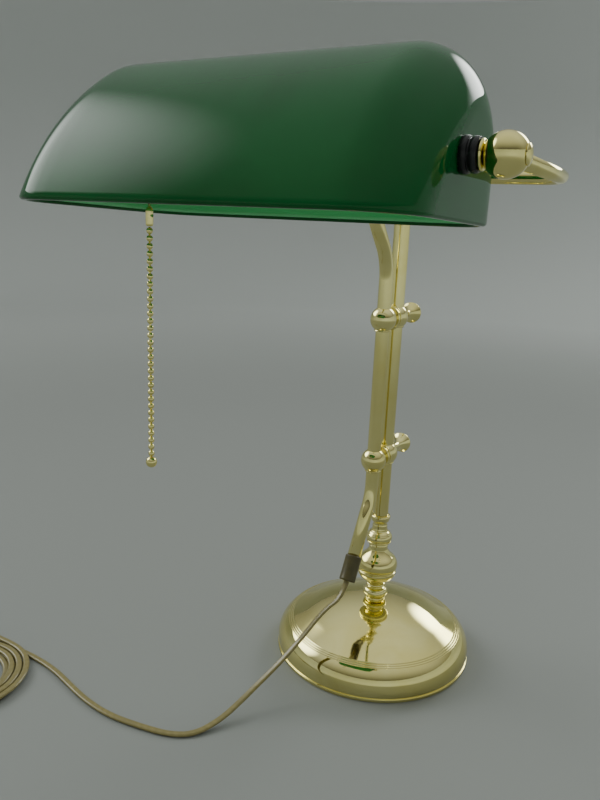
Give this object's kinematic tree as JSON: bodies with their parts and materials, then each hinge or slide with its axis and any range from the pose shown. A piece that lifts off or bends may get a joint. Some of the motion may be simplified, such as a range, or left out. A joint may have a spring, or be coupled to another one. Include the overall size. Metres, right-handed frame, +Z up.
{
  "type": "banker desk lamp",
  "caption": "Brass desk lamp with a turned column on a domed foot, a height-adjustable arm in thumb-screw clamps and a tilting green glass trough shade with a pull chain.",
  "frame": {"origin": "on the table under the middle of the foot", "axes": "+Z up, -Y from the post towards the user, +X along the shade"},
  "size_m": [0.5478, 0.3642, 0.4419],
  "materials": {
    "brass": "mirror polished",
    "iron": "as cast",
    "felt": "felt",
    "steel": "plated",
    "green_glass": "gloss",
    "black_plastic": "satin",
    "sleeve_rubber": "matte",
    "cord_gold": "satin"
  },
  "bodies": {
    "base": {"base_shell": "brass", "base_weight": "iron", "base_felt": "felt", "base_washer": "steel", "base_nut": "steel", "tie_rod": "steel", "rod_keeper": "steel", "column_foot": "brass", "column_bead": "brass", "column_vase": "brass", "column_ring": "brass", "column_socket": "brass"},
    "post": {"post_tube": "brass", "post_bush": "black_plastic", "post_cap": "brass", "cord_run": "cord_gold", "cord_coil": "cord_gold", "cord_tail": "cord_gold", "plug_body": "cord_gold", "plug_pins": "brass"},
    "arm": {"arm_tube": "brass", "cord_sleeve": "sleeve_rubber", "clamp_ball_lower": "brass", "clamp_ball_upper": "brass", "clamp_discs_lower": "brass", "clamp_discs_upper": "brass", "post_ball_lower": "brass", "post_ball_upper": "brass", "yoke_hub": "brass", "yoke_tube_right": "brass", "yoke_tube_left": "brass", "pivot_ball_right": "brass", "pivot_ball_left": "brass", "pivot_collar_right": "brass", "pivot_collar_left": "brass", "pivot_cap_right": "brass", "pivot_cap_left": "brass", "inner_nut_right": "brass", "inner_nut_left": "brass", "pivot_stud": "steel", "pivot_nipple": "brass", "holder_cap": "black_plastic", "holder_shell": "black_plastic", "holder_switch": "black_plastic", "holder_contact": "black_plastic", "holder_thread": "brass", "pull_guide": "brass"},
    "shade": {"shade": "green_glass", "pivot_bush_right": "black_plastic", "pivot_bush_left": "black_plastic", "inner_washer_right": "black_plastic", "inner_washer_left": "black_plastic"},
    "thumb_lower": {"thumb_screw_lower": "brass"},
    "thumb_upper": {"thumb_screw_upper": "brass"},
    "pull": {"pull_link": "brass"},
    "chain": {"pull_chain": "brass", "chain_ball": "brass"}
  },
  "joints": [
    {"name": "arm_swivel", "type": "hinge", "parent": "base", "child": "post", "pos_m": [0, 0, 0.13], "axis": [0, 0, 1], "range_deg": [-60, 60]},
    {"name": "height_slide", "type": "slide", "parent": "post", "child": "arm", "axis": [0, 0, 1], "range_m": [-0.04, 0.1], "deforming": ["cord_run"]},
    {"name": "shade_tilt", "type": "hinge", "parent": "arm", "child": "shade", "pos_m": [0, -0.216, 0.391], "axis": [-1, 0, 0], "range_deg": [-25, 45]},
    {"name": "thumb_lower_turn", "type": "hinge", "parent": "arm", "child": "thumb_lower", "pos_m": [0, 0.03, 0.1778], "axis": [0, 1, 0], "range_deg": [-360, 0]},
    {"name": "thumb_upper_turn", "type": "hinge", "parent": "arm", "child": "thumb_upper", "pos_m": [0, 0.03, 0.2905], "axis": [0, 1, 0], "range_deg": [-360, 0]},
    {"name": "switch_pull", "type": "slide", "parent": "arm", "child": "pull", "axis": [0, 0, -1], "range_m": [0, 0.007], "stiffness_N_per_m": 300},
    {"name": "chain_swing", "type": "hinge", "parent": "pull", "child": "chain", "pos_m": [-0.043, -0.24, 0.3547], "axis": [1, 0, 0], "range_deg": [-20, 20]}
  ]
}
